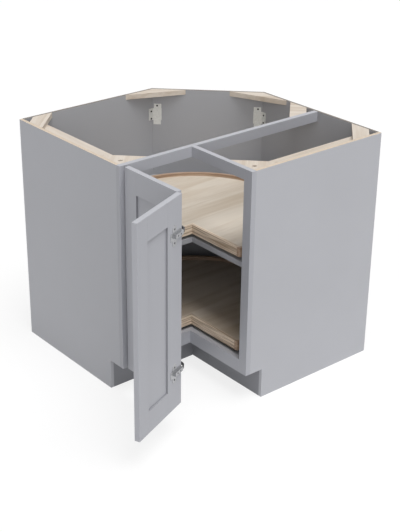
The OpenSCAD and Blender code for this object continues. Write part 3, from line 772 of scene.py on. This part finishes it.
def fastener_tree():
    """Geometry Nodes: one domed head with a crossed slot on each point, turned to face its own way."""
    tree = bpy.data.node_groups.new("fastener_heads", "GeometryNodeTree")
    face = tree.interface
    face.new_socket("Geometry", in_out="OUTPUT", socket_type="NodeSocketGeometry")
    face.new_socket("Geometry", in_out="INPUT", socket_type="NodeSocketGeometry")
    for label in ("Head Width", "Head Height", "Slot Length", "Slot Width", "Slot Depth"):
        face.new_socket(label, in_out="INPUT", socket_type="NodeSocketFloat")
    face.new_socket("Seed", in_out="INPUT", socket_type="NodeSocketInt")
    face.new_socket("Finish", in_out="INPUT", socket_type="NodeSocketMaterial")
    given = add(tree, "NodeGroupInput")
    dome = add(tree, "GeometryNodeMeshUVSphere", Segments=HEAD_SEGMENTS, Rings=HEAD_RINGS, Radius=0.5)
    double = add(tree, "ShaderNodeMath", operation="MULTIPLY")
    double.inputs[1].default_value = 2.0
    flatten = add(tree, "ShaderNodeCombineXYZ")
    shaped = add(tree, "GeometryNodeTransform")
    foot = add(tree, "GeometryNodeMeshCube", Size=FOOT_BLOCK)
    sunk = add(tree, "GeometryNodeTransform", Translation=(0, 0, -FOOT_BLOCK.z / 2 - HEAD_SINK))
    top = add(tree, "ShaderNodeCombineXYZ")
    slots = []
    for long_axis, short_axis in (("X", "Y"), ("Y", "X")):
        size = add(tree, "ShaderNodeCombineXYZ")
        bar = add(tree, "GeometryNodeMeshCube")
        moved = add(tree, "GeometryNodeTransform")
        join(
            tree,
            given.outputs["Slot Length"], size.inputs[long_axis],
            given.outputs["Slot Width"], size.inputs[short_axis],
            given.outputs["Slot Depth"], size.inputs["Z"],
            size.outputs[0], bar.inputs["Size"],
            bar.outputs["Mesh"], moved.inputs["Geometry"],
            given.outputs["Head Height"], top.inputs["Z"],
            top.outputs[0], moved.inputs["Translation"],
        )
        slots.append(moved)
    cut = add(tree, "GeometryNodeMeshBoolean", operation="DIFFERENCE", solver="EXACT")
    way = add(tree, "GeometryNodeInputNamedAttribute", data_type="FLOAT_VECTOR", Name="facing")
    scale = add(tree, "GeometryNodeInputNamedAttribute", data_type="FLOAT", Name="size")
    aim = add(tree, "FunctionNodeAlignRotationToVector", axis="Z")
    chance = add(tree, "FunctionNodeRandomValue", data_type="FLOAT")
    chance.inputs[FLOAT_MAX].default_value = math.pi
    spin = add(tree, "ShaderNodeCombineXYZ")
    spun = add(tree, "FunctionNodeRotateRotation", rotation_space="LOCAL")
    placed_heads = add(tree, "GeometryNodeInstanceOnPoints")
    real = add(tree, "GeometryNodeRealizeInstances")
    finish = add(tree, "GeometryNodeSetMaterial")
    result = add(tree, "NodeGroupOutput")
    join(
        tree,
        given.outputs["Head Width"], flatten.inputs["X"],
        given.outputs["Head Width"], flatten.inputs["Y"],
        given.outputs["Head Height"], double.inputs[0],
        double.outputs[0], flatten.inputs["Z"],
        dome.outputs["Mesh"], shaped.inputs["Geometry"],
        flatten.outputs[0], shaped.inputs["Scale"],
        foot.outputs["Mesh"], sunk.inputs["Geometry"],
        shaped.outputs[0], cut.inputs["Mesh 1"],
        sunk.outputs[0], cut.inputs["Mesh 2"],
        slots[0].outputs[0], cut.inputs["Mesh 2"],
        slots[1].outputs[0], cut.inputs["Mesh 2"],
        given.outputs["Geometry"], placed_heads.inputs["Points"],
        cut.outputs["Mesh"], placed_heads.inputs["Instance"],
        way.outputs["Attribute"], aim.inputs["Vector"],
        given.outputs["Seed"], chance.inputs["Seed"],
        chance.outputs[FLOAT_OUT], spin.inputs["Z"],
        aim.outputs[0], spun.inputs[0],
        spin.outputs[0], spun.inputs[1],
        spun.outputs[0], placed_heads.inputs["Rotation"],
        scale.outputs["Attribute"], placed_heads.inputs["Scale"],
        placed_heads.outputs[0], real.inputs[0],
        real.outputs[0], finish.inputs["Geometry"],
        given.outputs["Finish"], finish.inputs["Material"],
        finish.outputs[0], result.inputs[0],
    )
    return tree


fastener_heads = fastener_tree()


def fasten(name, body, finish, places, seed, head_width=HEAD_WIDTH):
    """Heads at (point, facing) or (point, facing, size) as one plain mesh that rides on a body."""
    spots = bpy.data.meshes.new(name + "_spots")
    spots.from_pydata([place[0] for place in places], [], [])
    way = spots.attributes.new("facing", "FLOAT_VECTOR", "POINT")
    way.data.foreach_set("vector", [part for place in places for part in place[1]])
    size = spots.attributes.new("size", "FLOAT", "POINT")
    size.data.foreach_set("value", [place[2] if len(place) > 2 else 1.0 for place in places])
    holder = bpy.data.objects.new(name + "_holder", spots)
    scene.collection.objects.link(holder)
    maker = holder.modifiers.new("heads", "NODES")
    maker.node_group = fastener_heads
    values = {
        "Head Width": head_width,
        "Head Height": HEAD_HEIGHT,
        "Slot Length": head_width * SLOT_LENGTH,
        "Slot Width": head_width * SLOT_WIDTH,
        "Slot Depth": HEAD_HEIGHT * SLOT_DEPTH,
        "Seed": seed,
        "Finish": finish,
    }
    for item in fastener_heads.interface.items_tree:
        if item.in_out == "INPUT" and item.name in values:
            maker[item.identifier] = values[item.name]
    graph = bpy.context.evaluated_depsgraph_get()
    mesh = bpy.data.meshes.new_from_object(holder.evaluated_get(graph), depsgraph=graph)
    bpy.data.objects.remove(holder)
    piece = bpy.data.objects.new(name, mesh)
    scene.collection.objects.link(piece)
    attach(piece, body)


def above_and_below(point, spacing):
    """Two places, as far above and below a point at the height of each hinge."""
    return [
        point + (height + side * spacing) * UP
        for height in HINGE_HEIGHTS for side in (-1, 1)
    ]


# painted shade: the clip screws are black for the dark holes of the clips
shade_black = zinc_plate("shade_black", SHADE_BLACK, roughness=0.42)
clip_spots = [
    (CLIP_CORNER + CLIP_THICKNESS * FROM_WALL - CLIP_EAR_REACH * ALONG_WALL + rise * UP, FROM_WALL)
    for rise in CLIP_EAR_SCREWS
]
clip_spots.append((
    CLIP_CORNER + CLIP_TONGUE_REACH * DIAGONAL + CLIP_THICKNESS * INTO_ROOM + CLIP_TONGUE_RISE * UP,
    INTO_ROOM,
))
clip_spots += [other_wing(*spot) for spot in clip_spots]
fasten("clip_screws", "cabinet", shade_black, clip_spots, seed=3, head_width=CLIP_HEAD_WIDTH)

cabinet_spots = [
    (point, ALONG_WALL, SMALL_HEAD) for point in above_and_below(HINGE_ARM_SCREW, HINGE_ARM_SPACING)
]
upper_spots, lower_spots = [], []
for deck, tray_spots in ((SHELF_TOP, upper_spots), (FLOOR_TOP, lower_spots)):
    for across in (-PLATE_SCREW_AT, PLATE_SCREW_AT):
        for along in (-PLATE_SCREW_AT, PLATE_SCREW_AT):
            middle = TRAY_AXIS + Vector((across, along, deck))
            cabinet_spots.append((middle + PLATE_THICKNESS * UP, UP))
            tray_spots.append((middle + (BEARING_DEPTH - PLATE_THICKNESS) * UP, -UP))
fasten("cabinet_screws", "cabinet", zinc, cabinet_spots, seed=5)
fasten("upper_tray_screws", "upper_tray", zinc, upper_spots, seed=7)
fasten("lower_tray_screws", "lower_tray", zinc, lower_spots, seed=9)

cup_spots = [
    on_left_door(point, -FROM_WALL)
    for across in CUP_CENTRES for point in above_and_below(Vector((CUP_FACE, across, 0)), CUP_SPACING)
]
fasten("cup_screws", "left_door", shade_dark_nickel, cup_spots, seed=11)

arm_spots = [
    on_right_door(point, -FROM_WALL) for point in above_and_below(FOLD_PLATE_SCREW, FOLD_PLATE_SPACING)
]
arm_spots += [
    on_right_door(Vector((FOLD_ARM_FACE, across, height)), -FROM_WALL) + (SMALL_HEAD,)
    for across in FOLD_ARM_SCREWS for height in HINGE_HEIGHTS
]
fasten("arm_screws", "right_door", shade_dark_nickel, arm_spots, seed=13)
